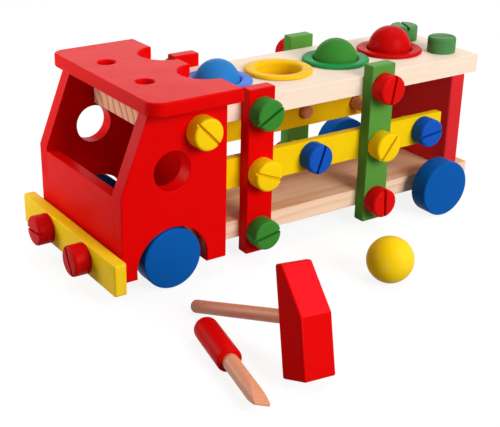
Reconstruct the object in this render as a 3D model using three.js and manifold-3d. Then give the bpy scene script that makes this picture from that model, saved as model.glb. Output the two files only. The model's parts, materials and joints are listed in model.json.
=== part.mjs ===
// A wooden take-apart toy truck with a ball-pounding bed, and its hammer, screwdriver and loose ball
// Millimetres. +X is the truck's front, +Y its left side, +Z up, and everything stands on z = 0.
import * as THREE from 'three';
import { mergeVertices } from 'three/addons/utils/BufferGeometryUtils.js';
import Module from 'manifold-3d';

const wasm = await Module();
wasm.setup();

// Fits between pieces
const SEAT_GAP = 0.1; // between flat faces that meet
const SHANK_FIT = 0.4; // round a screw shank in its hole
const HOLE_TIP = 1; // past the end of a screw shank in a blind hole
const AXLE_FIT = 0.4; // round an axle in the board that it turns in
const GLUE_FIT = 0.3; // round a piece glued into its hole
const BALL_FIT = 0.5; // round a ball in the bore of its ring
const RING_FIT = 0.5; // round a ring in the top board
const FLOOR_GAP = 0.3; // under a loose tool

// Boards
const BOARD_W = 120;
const TOP_NOSE = 32; // the top board past the cab screws
const TOP_T = 19;
const BOTTOM_T = 18;
const POST_RISE = 61; // from the bottom board's middle to the posts' middle screws
const TOP_RISE = 60; // on to the top board's middle

// Rings and balls, counted from the front
const BALL_D = 45;
const RING_PITCH = 73.5;
const FLANGE_LIP = 7; // past the sleeve
const FLANGE_T = 4;
const FLANGE_EASE = 2;
const SLEEVE_WALL = 5;
const SLEEVE_SHORT = 1; // the sleeve ends this far inside the top board
const FUNNEL = 3.5; // widening at the mouth of the bore
const RINGS = ['blue', 'yellow', 'green', 'red'];
const BALL_RISES = { blue: 1, green: 1.5, red: 5 }; // ball centres above the top board
const LOOSE_BALL_BACK = 4.5; // behind the middle rail screws
const LOOSE_BALL_OUT = 120; // from the boards' side

// Wheels and axles
const WHEEL_D = 60;
const WHEEL_T = 20.5;
const WHEEL_EASE = 1.5;
const WHEEL_GAP = 4.5; // between a front wheel and the board's side
const REAR_WHEEL_GAP = 12.5; // the same at the rear
const REAR_AXLE_X = 62; // from the rear end of the boards
const AXLE_D = 10;
const AXLE_IN_WHEEL = 12;

// Rear panel, posts and rails
const REAR_OVERHANG = 16; // of the boards behind the rear panel
const REAR_PANEL_WALL = 2.1; // beside its screw holes
const POST_W = 29.5;
const POST_T = 14;
const POST_BACK = 2; // behind the ring that it stands beside
const POST_END = 23; // past its end screws
const RAIL_H = 31;
const RAIL_DROP = 2; // below the posts' middle screws
const RAIL_T = 10;
const RAIL_GAP = 10; // in front of the rear panel
const RAIL_END = 27.5; // behind its rear screw
const RAIL_IN_CAB = 18.5;

// Cab
const CAB_L = 111;
const CAB_BEHIND_RING = 43.5; // from the front ring to the cab's rear edge
const CAB_DROP = 12; // its lower edge below the axles
const CAB_RISE = 13.5; // its upper edge above the top board
const SIDE_T = 16;
const KNEE_RISE = 71; // from the axles to where the windscreen edge starts to lean back
const WINDSCREEN_RUN = 29.5; // how far it leans
const AXLE_IN_CAB = 58.3; // from the cab's rear edge to the axle, window and roof holes
const WINDOW_D = 37.6;
const WINDOW_RISE = 86.5; // from the axles
const ARCH_DROP = 6; // the arch's centre below the axle
const ARCH_CLEAR = 1.5; // over the wheel
const FRONT_T = 12;
const BACK_T = 12; // the panel between the boards at the cab's rear
const SILL_RISE = 67.5; // from the axles
const ROOF_T = 13.2;
const ROOF_OVERHANG = 6; // front and rear
const ROOF_SIDE_OVERHANG = 16.5;
const ROOF_CORNER_R = 14;
const TOOL_Y = 37; // roof holes and notches, from the middle
const TOOL_HOLE_D = 17.5;
const TOOL_NOTCH_D = 52;
const SPACER_D = 22;

// Bumper
const BUMPER_OVERHANG = 14; // past the cab sides
const BUMPER_H = 31;
const BUMPER_T = 12.3;
const BUMPER_STANDOFF = 3; // the spacers behind it

// Screws
const HEAD_D = 30;
const HEAD_H = 16.5;
const HEAD_EASE = 2.5;
const SHANK_D = 14;
const SHANK_L = 31.5;
const SLOT_W = 3;
const SLOT_DEPTH = 4;
const TOP_SCREW_Y = 30;
const BUMPER_SCREW_Y = 39.5;
const CAB_SCREW_X = 29.5; // from the cab's rear edge
const CAB_SCREW_DROP = 1; // below the top board's middle

// Hammer, leaning on the end of its handle and on one lower corner of its head
const HAMMER_BACK = 57.5; // behind the cab's front
const HAMMER_OUT = 186.5; // from the cab's side
const HAMMER_TURN = 5; // degrees
const HAMMER_ROLL = 9; // degrees
const HAMMER_W = 33.5;
const HAMMER_DEPTH = 26;
const HAMMER_H = 92;
const HAMMER_SHOULDER = 51; // where the wedge starts
const HAMMER_EDGE = 7; // thickness left at the wedge's top
const HANDLE_D = 12;
const HANDLE_OUT = 131; // from the head to the free end
const HANDLE_IN = 20;
const HANDLE_Z = 46.5; // up the head

// Screwdriver, lying on its handle
const DRIVER_BESIDE = 29; // in front of the hammer
const DRIVER_IN = 97; // nearer to the cab than the hammer
const DRIVER_TURN = 78; // degrees
const DRIVER_ROLL = 20; // degrees
const GRIP_D = 22;
const GRIP_L = 63;
const GRIP_ROUND = 9;
const GRIP_EASE = 2;
const BLADE_D = 14;
const BLADE_OUT = 66;
const BLADE_IN = 25;
const BLADE_TAPER = 22;
const BLADE_TIP_T = 2;

// Facets round each kind of turned piece
const SCREW_FACETS = 18;
const HOLE_FACETS = 18;
const RING_FACETS = 28;
const WHEEL_FACETS = 36;
const BALL_FACETS = 22;
const DOWEL_FACETS = 18;
const ARC_STEPS = 12; // half the facets of an arc or round hole in an outline

// Places that follow from the sizes
const axleZ = WHEEL_D / 2;
const postZ = axleZ + POST_RISE;
const railZ = postZ - RAIL_DROP;
const topZ = postZ + TOP_RISE;
const bottomTop = axleZ + BOTTOM_T / 2;
const topUnder = topZ - TOP_T / 2;
const topTop = topZ + TOP_T / 2;
const boardSide = BOARD_W / 2;
const postFace = boardSide + SEAT_GAP + POST_T;
const shankHoleD = SHANK_D + 2 * SHANK_FIT;
const rearPanelT = shankHoleD + 2 * REAR_PANEL_WALL;
const rearPanelMiddle = REAR_OVERHANG + rearPanelT / 2;
const railRear = REAR_OVERHANG + rearPanelT + RAIL_GAP;
const rearRingX = railRear + RAIL_END;
const ringX = RINGS.map((_, i) => rearRingX + (RINGS.length - 1 - i) * RING_PITCH);
const frontPostX = ringX[0] - POST_BACK;
const midRailX = ringX[1];
const rearPostX = ringX[2] - POST_BACK;
const rearRailX = ringX[3];
const cabRear = ringX[0] + CAB_BEHIND_RING;
const cabFront = cabRear + CAB_L;
const cabBottom = axleZ - CAB_DROP;
const cabTop = topTop + CAB_RISE;
const wheelInside = boardSide + WHEEL_GAP;
const cabSide = wheelInside + WHEEL_T;
const cabInside = cabSide - SIDE_T;
const cabLine = cabRear + AXLE_IN_CAB;
const cabScrewX = cabRear + CAB_SCREW_X;
const cabScrewZ = topZ - CAB_SCREW_DROP;
const frontRear = cabFront - FRONT_T;
const bottomFront = frontRear - SEAT_GAP;
const bumperRear = cabFront + BUMPER_STANDOFF + 2 * SEAT_GAP;
const bumperFront = bumperRear + BUMPER_T;
const roofUnder = cabTop + SEAT_GAP;
const boreR = BALL_D / 2 + BALL_FIT;
const sleeveR = boreR + SLEEVE_WALL;
const flangeR = sleeveR + FLANGE_LIP;
const hammerX = cabFront - HAMMER_BACK;
const hammerY = cabSide + HAMMER_OUT;
const bladeFit = BLADE_D + 2 * GLUE_FIT;

const COLOURS = {
  red: 0xd8150f,
  yellow: 0xf5c400,
  green: 0x4f9a3a,
  blue: 0x1c5fb0,
  pine: 0xf2d8b8,
  beech: 0xd39a73,
};
const SIDES = [['left', 1], ['right', -1]];

const truck = new THREE.Group();

function addPiece(group, name, geometry, colour) {
  const material = new THREE.MeshStandardMaterial({ color: COLOURS[colour], roughness: 0.4, metalness: 0 });
  const mesh = new THREE.Mesh(geometry, material);
  mesh.name = name;
  group.add(mesh);
  return mesh;
}

// Boolean cuts

function toSolid(geometry) {
  const bare = new THREE.BufferGeometry();
  bare.setAttribute('position', geometry.getAttribute('position').clone());
  if (geometry.index) bare.setIndex(geometry.index.clone());
  const merged = mergeVertices(bare, 1e-4);
  const index = merged.index.array;
  const corners = [];
  for (let i = 0; i < index.length; i += 3) {
    const [a, b, c] = [index[i], index[i + 1], index[i + 2]];
    if (a !== b && b !== c && c !== a) corners.push(a, b, c);
  }
  return new wasm.Manifold(new wasm.Mesh({
    numProp: 3,
    vertProperties: merged.getAttribute('position').array,
    triVerts: new Uint32Array(corners),
  }));
}

function toGeometry(solid) {
  const mesh = solid.getMesh();
  const geometry = new THREE.BufferGeometry();
  geometry.setAttribute('position', new THREE.BufferAttribute(mesh.vertProperties, 3));
  geometry.setIndex(new THREE.BufferAttribute(mesh.triVerts, 1));
  geometry.computeVertexNormals();
  return geometry;
}

function cut(geometry, cutters) {
  let solid = toSolid(geometry);
  for (const cutter of cutters) solid = solid.subtract(toSolid(cutter));
  return toGeometry(solid);
}

// Basic shapes

function around(middle, size) {
  return [middle - size / 2, middle + size / 2];
}

function onSide(sign, inner, outer) {
  return sign > 0 ? [inner, outer] : [-outer, -inner];
}

function slab([x0, x1], [y0, y1], [z0, z1]) {
  const box = new THREE.BoxGeometry(x1 - x0, y1 - y0, z1 - z0);
  return box.translate((x0 + x1) / 2, (y0 + y1) / 2, (z0 + z1) / 2);
}

function rod(from, to, diameter, facets) {
  const start = new THREE.Vector3(...from);
  const along = new THREE.Vector3(...to).sub(start);
  const cylinder = new THREE.CylinderGeometry(diameter / 2, diameter / 2, along.length(), facets);
  const turn = new THREE.Quaternion();
  turn.setFromUnitVectors(new THREE.Vector3(0, 1, 0), along.clone().normalize());
  const middle = start.clone().addScaledVector(along, 0.5);
  return cylinder.applyQuaternion(turn).translate(middle.x, middle.y, middle.z);
}

// A profile of [radius, height] points turned about Z.
function turned(profile, facets) {
  const points = profile.map(([radius, height]) => new THREE.Vector2(radius, height));
  return new THREE.LatheGeometry(points, facets).rotateX(Math.PI / 2);
}

function plate(outline, depth) {
  return new THREE.ExtrudeGeometry(outline, { depth, bevelEnabled: false, curveSegments: ARC_STEPS });
}

// An outline in X and Z, standing between two values of Y.
function upright(outline, y0, y1) {
  return plate(outline, y1 - y0).rotateX(Math.PI / 2).translate(0, y1, 0);
}

// An outline in X and Y, lying between two values of Z.
function flat(outline, z0, z1) {
  return plate(outline, z1 - z0).translate(0, 0, z0);
}

function roundHole(outline, x, y, diameter) {
  outline.holes.push(new THREE.Path().absarc(x, y, diameter / 2, 0, 2 * Math.PI));
}

// Screws: each has the place of its seat, the way its head faces, its slot's angle and its colour

const screws = [];

function addScrew(name, seat, facing, slot, colour) {
  screws.push({ name, seat: new THREE.Vector3(...seat), facing: new THREE.Vector3(...facing), slot, colour });
}

for (const [side, sign] of SIDES) {
  const facing = [0, sign, 0];
  const postSeat = sign * (postFace + SEAT_GAP);
  const railSeat = sign * (boardSide + SEAT_GAP);
  const cabSeat = sign * (cabSide + SEAT_GAP);
  addScrew(`${side}_front_post_screw_top`, [frontPostX, postSeat, topZ], facing, 151, 'green');
  addScrew(`${side}_front_post_screw_middle`, [frontPostX, postSeat, postZ], facing, 22, 'yellow');
  addScrew(`${side}_front_post_screw_bottom`, [frontPostX, postSeat, axleZ], facing, 170, 'green');
  addScrew(`${side}_rear_post_screw_top`, [rearPostX, postSeat, topZ], facing, 100, 'red');
  addScrew(`${side}_rear_post_screw_middle`, [rearPostX, postSeat, postZ], facing, 128, 'yellow');
  addScrew(`${side}_rear_post_screw_bottom`, [rearPostX, postSeat, axleZ], facing, 87, 'red');
  addScrew(`${side}_rail_screw_middle`, [midRailX, railSeat, railZ], facing, 109, 'blue');
  addScrew(`${side}_rail_screw_rear`, [rearRailX, railSeat, railZ], facing, 173, 'blue');
  addScrew(`${side}_cab_screw`, [cabScrewX, cabSeat, cabScrewZ], facing, 46, 'yellow');
}
for (const [side, sign] of SIDES) {
  const topSlot = sign > 0 ? 145 : 67;
  const bumperSlot = sign > 0 ? 118 : 4;
  const topSeat = [rearPanelMiddle, sign * TOP_SCREW_Y, topTop + SEAT_GAP];
  const bumperSeat = [bumperFront + SEAT_GAP, sign * BUMPER_SCREW_Y, axleZ];
  addScrew(`${side}_top_screw`, topSeat, [0, 0, 1], topSlot, 'green');
  addScrew(`${side}_bumper_screw`, bumperSeat, [1, 0, 0], bumperSlot, 'red');
}

function shankHole({ seat, facing }) {
  const outside = seat.clone().add(facing);
  const tip = seat.clone().addScaledVector(facing, -SHANK_L - HOLE_TIP);
  return rod(outside.toArray(), tip.toArray(), shankHoleD, HOLE_FACETS);
}

function holesFor(pattern) {
  return screws.filter(({ name }) => pattern.test(name)).map(shankHole);
}

function screwGeometry() {
  const shank = SHANK_D / 2;
  const head = HEAD_D / 2;
  const body = turned([
    [0, -SHANK_L],
    [shank, -SHANK_L],
    [shank, 0],
    [head, 0],
    [head, HEAD_H - HEAD_EASE],
    [head - HEAD_EASE, HEAD_H],
    [0, HEAD_H],
  ], SCREW_FACETS);
  return cut(body, [slab([-HEAD_D, HEAD_D], [-SLOT_W / 2, SLOT_W / 2], [HEAD_H - SLOT_DEPTH, 2 * HEAD_H])]);
}

// The way that a screw's own X axis faces before its slot is turned
const SLOT_ZERO = new THREE.Vector3(1, 0, 0);
const SLOT_ZERO_FRONT = new THREE.Vector3(0, 1, 0);

const screwShape = screwGeometry();
for (const { name, seat, facing, slot, colour } of screws) {
  const screw = addPiece(truck, name, screwShape, colour);
  const zero = Math.abs(facing.x) > 0.5 ? SLOT_ZERO_FRONT : SLOT_ZERO;
  const across = new THREE.Vector3().crossVectors(facing, zero);
  screw.quaternion.setFromRotationMatrix(new THREE.Matrix4().makeBasis(zero, across, facing));
  const backward = facing.y > 0 ? -1 : 1;
  screw.rotateZ(THREE.MathUtils.degToRad(backward * slot));
  screw.position.copy(seat);
}

// Boards and rear panel

const topFront = cabScrewX + TOP_NOSE;
const topOutline = new THREE.Shape()
  .moveTo(0, -boardSide)
  .lineTo(topFront, -boardSide)
  .lineTo(topFront, boardSide)
  .lineTo(0, boardSide);
for (const x of ringX) roundHole(topOutline, x, 0, 2 * (sleeveR + RING_FIT));
const topHoles = holesFor(/post_screw_top|top_screw|cab_screw/);
addPiece(truck, 'top_board', cut(flat(topOutline, topUnder, topTop), topHoles), 'pine');

const axleHoles = [REAR_AXLE_X, cabLine].map((x) => {
  return rod([x, -BOARD_W, axleZ], [x, BOARD_W, axleZ], AXLE_D + 2 * AXLE_FIT, HOLE_FACETS);
});
const bottomBoard = slab([0, bottomFront], around(0, BOARD_W), around(axleZ, BOTTOM_T));
const bottomHoles = holesFor(/post_screw_bottom|bumper_screw/);
addPiece(truck, 'bottom_board', cut(bottomBoard, [...axleHoles, ...bottomHoles]), 'pine');

const rearPanel = slab(
  around(rearPanelMiddle, rearPanelT),
  around(0, BOARD_W),
  [bottomTop + SEAT_GAP, topUnder - SEAT_GAP],
);
addPiece(truck, 'rear_panel', cut(rearPanel, holesFor(/top_screw/)), 'red');

// Posts and rails

const railSpan = [railRear, cabRear + RAIL_IN_CAB];
for (const [side, sign] of SIDES) {
  const postDepth = onSide(sign, boardSide + SEAT_GAP, postFace);
  for (const [place, x, colour] of [['front', frontPostX, 'red'], ['rear', rearPostX, 'green']]) {
    const post = slab(around(x, POST_W), postDepth, [axleZ - POST_END, topZ + POST_END]);
    const postHoles = holesFor(new RegExp(`${side}_${place}_post_screw`));
    addPiece(truck, `${side}_${place}_post`, cut(post, postHoles), colour);
  }
  const rail = slab(railSpan, onSide(sign, boardSide - RAIL_T, boardSide), around(railZ, RAIL_H));
  const railHoles = holesFor(new RegExp(`${side}_(rail_screw|.*post_screw_middle)`));
  addPiece(truck, `${side}_rail`, cut(rail, railHoles), 'yellow');
}

// Cab

const archZ = axleZ - ARCH_DROP;
const archR = WHEEL_D / 2 + ARCH_DROP + ARCH_CLEAR;
const archStart = Math.asin((cabBottom - archZ) / archR);
const sideOutline = new THREE.Shape()
  .moveTo(cabRear, cabBottom)
  .absarc(cabLine, archZ, archR, Math.PI - archStart, archStart, true)
  .lineTo(cabFront, cabBottom)
  .lineTo(cabFront, axleZ + KNEE_RISE)
  .lineTo(cabFront - WINDSCREEN_RUN, cabTop)
  .lineTo(cabRear, cabTop);
roundHole(sideOutline, cabLine, axleZ + WINDOW_RISE, WINDOW_D);
for (const [side, sign] of SIDES) {
  const cabHoles = holesFor(new RegExp(`${side}_cab_screw`));
  const sidePanel = upright(sideOutline, ...onSide(sign, cabInside, cabSide));
  addPiece(truck, `${side}_cab_side`, cut(sidePanel, cabHoles), 'red');

  const [spacerStart, spacerEnd] = onSide(sign, boardSide + SEAT_GAP, cabInside - SEAT_GAP)
    .map((y) => [cabScrewX, y, cabScrewZ]);
  const spacer = rod(spacerStart, spacerEnd, SPACER_D, HOLE_FACETS);
  addPiece(truck, `${side}_cab_spacer`, cut(spacer, cabHoles), 'beech');
}

const frontSide = cabInside - SEAT_GAP;
const frontPanel = slab([frontRear, cabFront], [-frontSide, frontSide], [cabBottom, axleZ + SILL_RISE]);
addPiece(truck, 'cab_front', cut(frontPanel, holesFor(/bumper_screw/)), 'red');

const backSide = boardSide - RAIL_T - SEAT_GAP;
const backHeight = [bottomTop + SEAT_GAP, topUnder - SEAT_GAP];
addPiece(truck, 'cab_back', slab([cabRear, cabRear + BACK_T], [-backSide, backSide], backHeight), 'red');

const roofRear = cabRear - ROOF_OVERHANG;
const roofFront = cabFront - WINDSCREEN_RUN + ROOF_OVERHANG;
const roofSide = cabSide + ROOF_SIDE_OVERHANG;
const notchR = TOOL_NOTCH_D / 2;
const roofOutline = new THREE.Shape()
  .moveTo(roofRear, -roofSide)
  .lineTo(roofFront - ROOF_CORNER_R, -roofSide)
  .absarc(roofFront - ROOF_CORNER_R, ROOF_CORNER_R - roofSide, ROOF_CORNER_R, -Math.PI / 2, 0, false)
  .absarc(roofFront - ROOF_CORNER_R, roofSide - ROOF_CORNER_R, ROOF_CORNER_R, 0, Math.PI / 2, false)
  .lineTo(roofRear, roofSide)
  .absarc(roofRear, TOOL_Y, notchR, Math.PI / 2, -Math.PI / 2, true)
  .absarc(roofRear, -TOOL_Y, notchR, Math.PI / 2, -Math.PI / 2, true);
for (const y of [TOOL_Y, -TOOL_Y]) roundHole(roofOutline, cabLine, y, TOOL_HOLE_D);
addPiece(truck, 'roof', flat(roofOutline, roofUnder, roofUnder + ROOF_T), 'red');

const bumperW = 2 * (cabSide + BUMPER_OVERHANG);
const bumper = slab([bumperRear, bumperFront], around(0, bumperW), around(axleZ, BUMPER_H));
addPiece(truck, 'bumper', cut(bumper, holesFor(/bumper_screw/)), 'yellow');
for (const [side, sign] of SIDES) {
  const [washerStart, washerEnd] = [cabFront + SEAT_GAP, bumperRear - SEAT_GAP]
    .map((x) => [x, sign * BUMPER_SCREW_Y, axleZ]);
  const washer = rod(washerStart, washerEnd, SPACER_D, HOLE_FACETS);
  const washerHoles = holesFor(new RegExp(`${side}_bumper_screw`));
  addPiece(truck, `${side}_bumper_spacer`, cut(washer, washerHoles), 'beech');
}

// Rings and the balls that they hold

const sleeveEnd = SLEEVE_SHORT - TOP_T;
const ringShape = turned([
  [boreR, sleeveEnd],
  [sleeveR, sleeveEnd],
  [sleeveR, SEAT_GAP],
  [flangeR, SEAT_GAP],
  [flangeR, FLANGE_T - FLANGE_EASE],
  [flangeR - FLANGE_EASE, FLANGE_T],
  [boreR + FUNNEL, FLANGE_T],
  [boreR, FLANGE_T - FUNNEL],
  [boreR, sleeveEnd],
], RING_FACETS);
const ballShape = new THREE.SphereGeometry(BALL_D / 2, BALL_FACETS, BALL_FACETS / 2).rotateX(Math.PI / 2);
RINGS.forEach((colour, i) => {
  addPiece(truck, `${colour}_ring`, ringShape, colour).position.set(ringX[i], 0, topTop);
  if (!(colour in BALL_RISES)) return;
  const ball = addPiece(truck, `${colour}_ball`, ballShape, colour);
  ball.position.set(ringX[i], 0, topTop + BALL_RISES[colour]);
});
const looseBall = addPiece(truck, 'loose_ball', ballShape, 'yellow');
looseBall.position.set(midRailX - LOOSE_BALL_BACK, boardSide + LOOSE_BALL_OUT, BALL_D / 2);

// Wheels, each glued on the end of an axle

const wheelR = WHEEL_D / 2;
const axleSeatR = AXLE_D / 2 + GLUE_FIT;
const axleSeat = AXLE_IN_WHEEL + GLUE_FIT;
const wheelShape = turned([
  [0, axleSeat],
  [axleSeatR, axleSeat],
  [axleSeatR, 0],
  [wheelR - WHEEL_EASE, 0],
  [wheelR, WHEEL_EASE],
  [wheelR, WHEEL_T - WHEEL_EASE],
  [wheelR - WHEEL_EASE, WHEEL_T],
  [0, WHEEL_T],
], WHEEL_FACETS);
const rearWheelInside = boardSide + REAR_WHEEL_GAP;
const wheelsets = [['front', cabLine, wheelInside], ['rear', REAR_AXLE_X, rearWheelInside]];
for (const [place, x, inside] of wheelsets) {
  const reach = inside + AXLE_IN_WHEEL;
  addPiece(truck, `${place}_axle`, rod([x, -reach, axleZ], [x, reach, axleZ], AXLE_D, DOWEL_FACETS), 'beech');
  for (const [side, sign] of SIDES) {
    const wheel = addPiece(truck, `${side}_${place}_wheel`, wheelShape, 'blue');
    wheel.rotation.x = -sign * Math.PI / 2;
    wheel.position.set(x, sign * inside, axleZ);
  }
}

// Hammer: its handle runs along its own -Y, and the lean brings the handle's end down to the floor

const handleR = HANDLE_D / 2;
const hammerRoll = THREE.MathUtils.degToRad(HAMMER_ROLL);
const hammerRise = HAMMER_W / 2 * Math.sin(hammerRoll);
const handleUnder = HANDLE_Z - handleR;
const handleContact = HANDLE_OUT - handleR / 2;
const restSpan = Math.hypot(handleUnder, handleContact) * Math.cos(hammerRoll);
const hammerLean = Math.acos(-hammerRise / restSpan) - Math.atan2(handleContact, handleUnder);
const hammer = new THREE.Group();
hammer.rotation.set(hammerLean, -hammerRoll, THREE.MathUtils.degToRad(HAMMER_TURN), 'ZYX');
hammer.position.set(hammerX, hammerY, FLOOR_GAP + hammerRise);
truck.add(hammer);

const hammerProfile = new THREE.Shape()
  .moveTo(0, 0)
  .lineTo(HAMMER_DEPTH, 0)
  .lineTo(HAMMER_DEPTH, HAMMER_SHOULDER)
  .lineTo(HAMMER_EDGE, HAMMER_H)
  .lineTo(0, HAMMER_H);
const hammerBlock = upright(hammerProfile, -HAMMER_W / 2, HAMMER_W / 2).rotateZ(Math.PI / 2);
const holeEnd = [0, HANDLE_IN + GLUE_FIT, HANDLE_Z];
const handleHole = rod([0, -HANDLE_OUT, HANDLE_Z], holeEnd, HANDLE_D + 2 * GLUE_FIT, DOWEL_FACETS);
addPiece(hammer, 'hammer_head', cut(hammerBlock, [handleHole]), 'red');

const hammerHandle = addPiece(hammer, 'hammer_handle', turned([
  [0, -HANDLE_IN],
  [handleR, -HANDLE_IN],
  [handleR, HANDLE_OUT - handleR / 2],
  [handleR / 2, HANDLE_OUT],
  [0, HANDLE_OUT],
], DOWEL_FACETS), 'beech');
hammerHandle.rotation.x = Math.PI / 2;
hammerHandle.position.z = HANDLE_Z;

// Screwdriver: made along +X from the back of its grip

const driver = new THREE.Group();
const driverRoll = THREE.MathUtils.degToRad(-DRIVER_ROLL);
driver.rotation.set(driverRoll, 0, THREE.MathUtils.degToRad(DRIVER_TURN), 'ZYX');
driver.position.set(hammerX + DRIVER_BESIDE, hammerY - DRIVER_IN, GRIP_D / 2 + FLOOR_GAP);
truck.add(driver);

const gripR = GRIP_D / 2;
const gripBack = Array.from({ length: 4 }, (_, i) => {
  const angle = (i / 3) * Math.PI / 2;
  return [gripR - GRIP_ROUND + GRIP_ROUND * Math.sin(angle), GRIP_ROUND * (1 - Math.cos(angle))];
});
const grip = addPiece(driver, 'screwdriver_handle', turned([
  [0, 0],
  ...gripBack,
  [gripR, GRIP_L - GRIP_EASE],
  [gripR - GRIP_EASE, GRIP_L],
  [bladeFit / 2, GRIP_L],
  [bladeFit / 2, GRIP_L - BLADE_IN],
  [0, GRIP_L - BLADE_IN],
], WHEEL_FACETS / 2), 'red');
grip.rotation.y = Math.PI / 2;

const bladeStart = GRIP_L - BLADE_IN + GLUE_FIT;
const bladeEnd = GRIP_L + BLADE_OUT;
const taperStart = bladeEnd - BLADE_TAPER;
const bladeR = BLADE_D / 2;
const taperCuts = [1, -1].map((sign) => {
  const wedge = new THREE.Shape()
    .moveTo(taperStart, sign * bladeR)
    .lineTo(bladeEnd, sign * BLADE_TIP_T / 2)
    .lineTo(bladeEnd + BLADE_D, sign * BLADE_TIP_T / 2)
    .lineTo(bladeEnd + BLADE_D, sign * BLADE_D)
    .lineTo(taperStart, sign * BLADE_D);
  return upright(wedge, -BLADE_D, BLADE_D);
});
const blade = rod([bladeStart, 0, 0], [bladeEnd, 0, 0], BLADE_D, DOWEL_FACETS);
addPiece(driver, 'screwdriver_shaft', cut(blade, taperCuts), 'beech');

// The set stands with the middle of its footprint at the origin

const footprint = new THREE.Box3().setFromObject(truck);
const middle = footprint.getCenter(new THREE.Vector3());
truck.position.set(-middle.x, -middle.y, 0);
const set = new THREE.Group();
set.add(truck);

export default set;
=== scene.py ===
"""Looks of the wooden pounding truck: eased boards, turned screws, rings, balls, wheels and tools."""

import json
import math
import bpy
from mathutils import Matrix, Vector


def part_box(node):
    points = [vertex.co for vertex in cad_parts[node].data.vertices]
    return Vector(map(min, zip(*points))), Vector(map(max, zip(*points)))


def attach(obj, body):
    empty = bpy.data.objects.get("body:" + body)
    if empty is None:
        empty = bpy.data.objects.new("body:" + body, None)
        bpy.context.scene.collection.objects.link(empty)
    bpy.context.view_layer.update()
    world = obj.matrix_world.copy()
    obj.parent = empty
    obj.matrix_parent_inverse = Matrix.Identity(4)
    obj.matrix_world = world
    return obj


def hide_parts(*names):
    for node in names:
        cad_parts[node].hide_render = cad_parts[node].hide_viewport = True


bl_info = {
    "name": "Wooden Pounding Truck",
    "version": (1, 0, 0),
    "blender": (4, 5, 0),
    "location": "3D View > Sidebar > Toy Truck",
    "description": "Dresses the packed wooden toy truck with eased, turned and painted pieces",
    "category": "Object",
}

import bpy
from bpy.props import FloatProperty, FloatVectorProperty, IntProperty, PointerProperty
from mathutils import Matrix, Vector

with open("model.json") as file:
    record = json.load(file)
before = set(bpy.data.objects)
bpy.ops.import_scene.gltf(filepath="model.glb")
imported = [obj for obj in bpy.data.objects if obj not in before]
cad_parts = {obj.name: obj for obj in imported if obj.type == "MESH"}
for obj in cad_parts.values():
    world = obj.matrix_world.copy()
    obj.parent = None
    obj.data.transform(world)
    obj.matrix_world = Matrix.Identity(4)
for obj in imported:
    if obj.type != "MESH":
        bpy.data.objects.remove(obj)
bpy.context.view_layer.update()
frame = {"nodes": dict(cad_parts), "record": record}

MM = 0.001
SIDES = (("left", 1), ("right", -1))

# The angle that counts as sharp, the gaps that are closed, and how far a cutter reaches past what it cuts
SHARP = math.radians(38)
SEAM = 0.02 * MM
SLIVER = 0.1 * MM
CUT_PAST = 5 * MM

RING_PAINTS = {"blue": "ring_blue", "yellow": "ring_yellow", "green": "ring_green", "red": "deep_red"}
BOARD_LOW, BOARD_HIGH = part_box("bottom_board")
TRUCK_ORIGIN = Vector((BOARD_LOW.x, (BOARD_LOW.y + BOARD_HIGH.y) / 2, 0))

# Screws by name: the way the head faces, the slot's angle in degrees and the colour
SCREWS = {}
for side_name, side_sign in SIDES:
    outward = Vector((0, side_sign, 0))
    SCREWS[f"{side_name}_front_post_screw_top"] = (outward, 151, "deep_green")
    SCREWS[f"{side_name}_front_post_screw_middle"] = (outward, 22, "yellow")
    SCREWS[f"{side_name}_front_post_screw_bottom"] = (outward, 170, "deep_green")
    SCREWS[f"{side_name}_rear_post_screw_top"] = (outward, 100, "screw_red")
    SCREWS[f"{side_name}_rear_post_screw_middle"] = (outward, 128, "yellow")
    SCREWS[f"{side_name}_rear_post_screw_bottom"] = (outward, 87, "screw_red")
    SCREWS[f"{side_name}_rail_screw_middle"] = (outward, 109, "screw_blue")
    SCREWS[f"{side_name}_rail_screw_rear"] = (outward, 173, "screw_blue")
    SCREWS[f"{side_name}_cab_screw"] = (outward, 46, "yellow")
# The two top screws take a paler green: painted light and sheen from above
SCREWS["left_top_screw"] = (Vector((0, 0, 1)), 145, "pale_green")
SCREWS["right_top_screw"] = (Vector((0, 0, 1)), 67, "pale_green")
SCREWS["left_bumper_screw"] = (Vector((1, 0, 0)), 118, "deep_red")
SCREWS["right_bumper_screw"] = (Vector((1, 0, 0)), 4, "deep_red")


def colour_prop(name, description, default):
    return FloatVectorProperty(
        name=name,
        description=description,
        default=default,
        subtype="COLOR",
        size=3,
        min=0,
        max=1,
    )


def length_prop(name, description, default):
    return FloatProperty(name=name, description=description, default=default, unit="LENGTH")


def angle_prop(name, description, degrees):
    turn = math.radians(degrees)
    return FloatProperty(name=name, description=description, default=turn, subtype="ANGLE")


def power_prop(name, description, default):
    return FloatProperty(name=name, description=description, default=default, unit="POWER")


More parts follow.
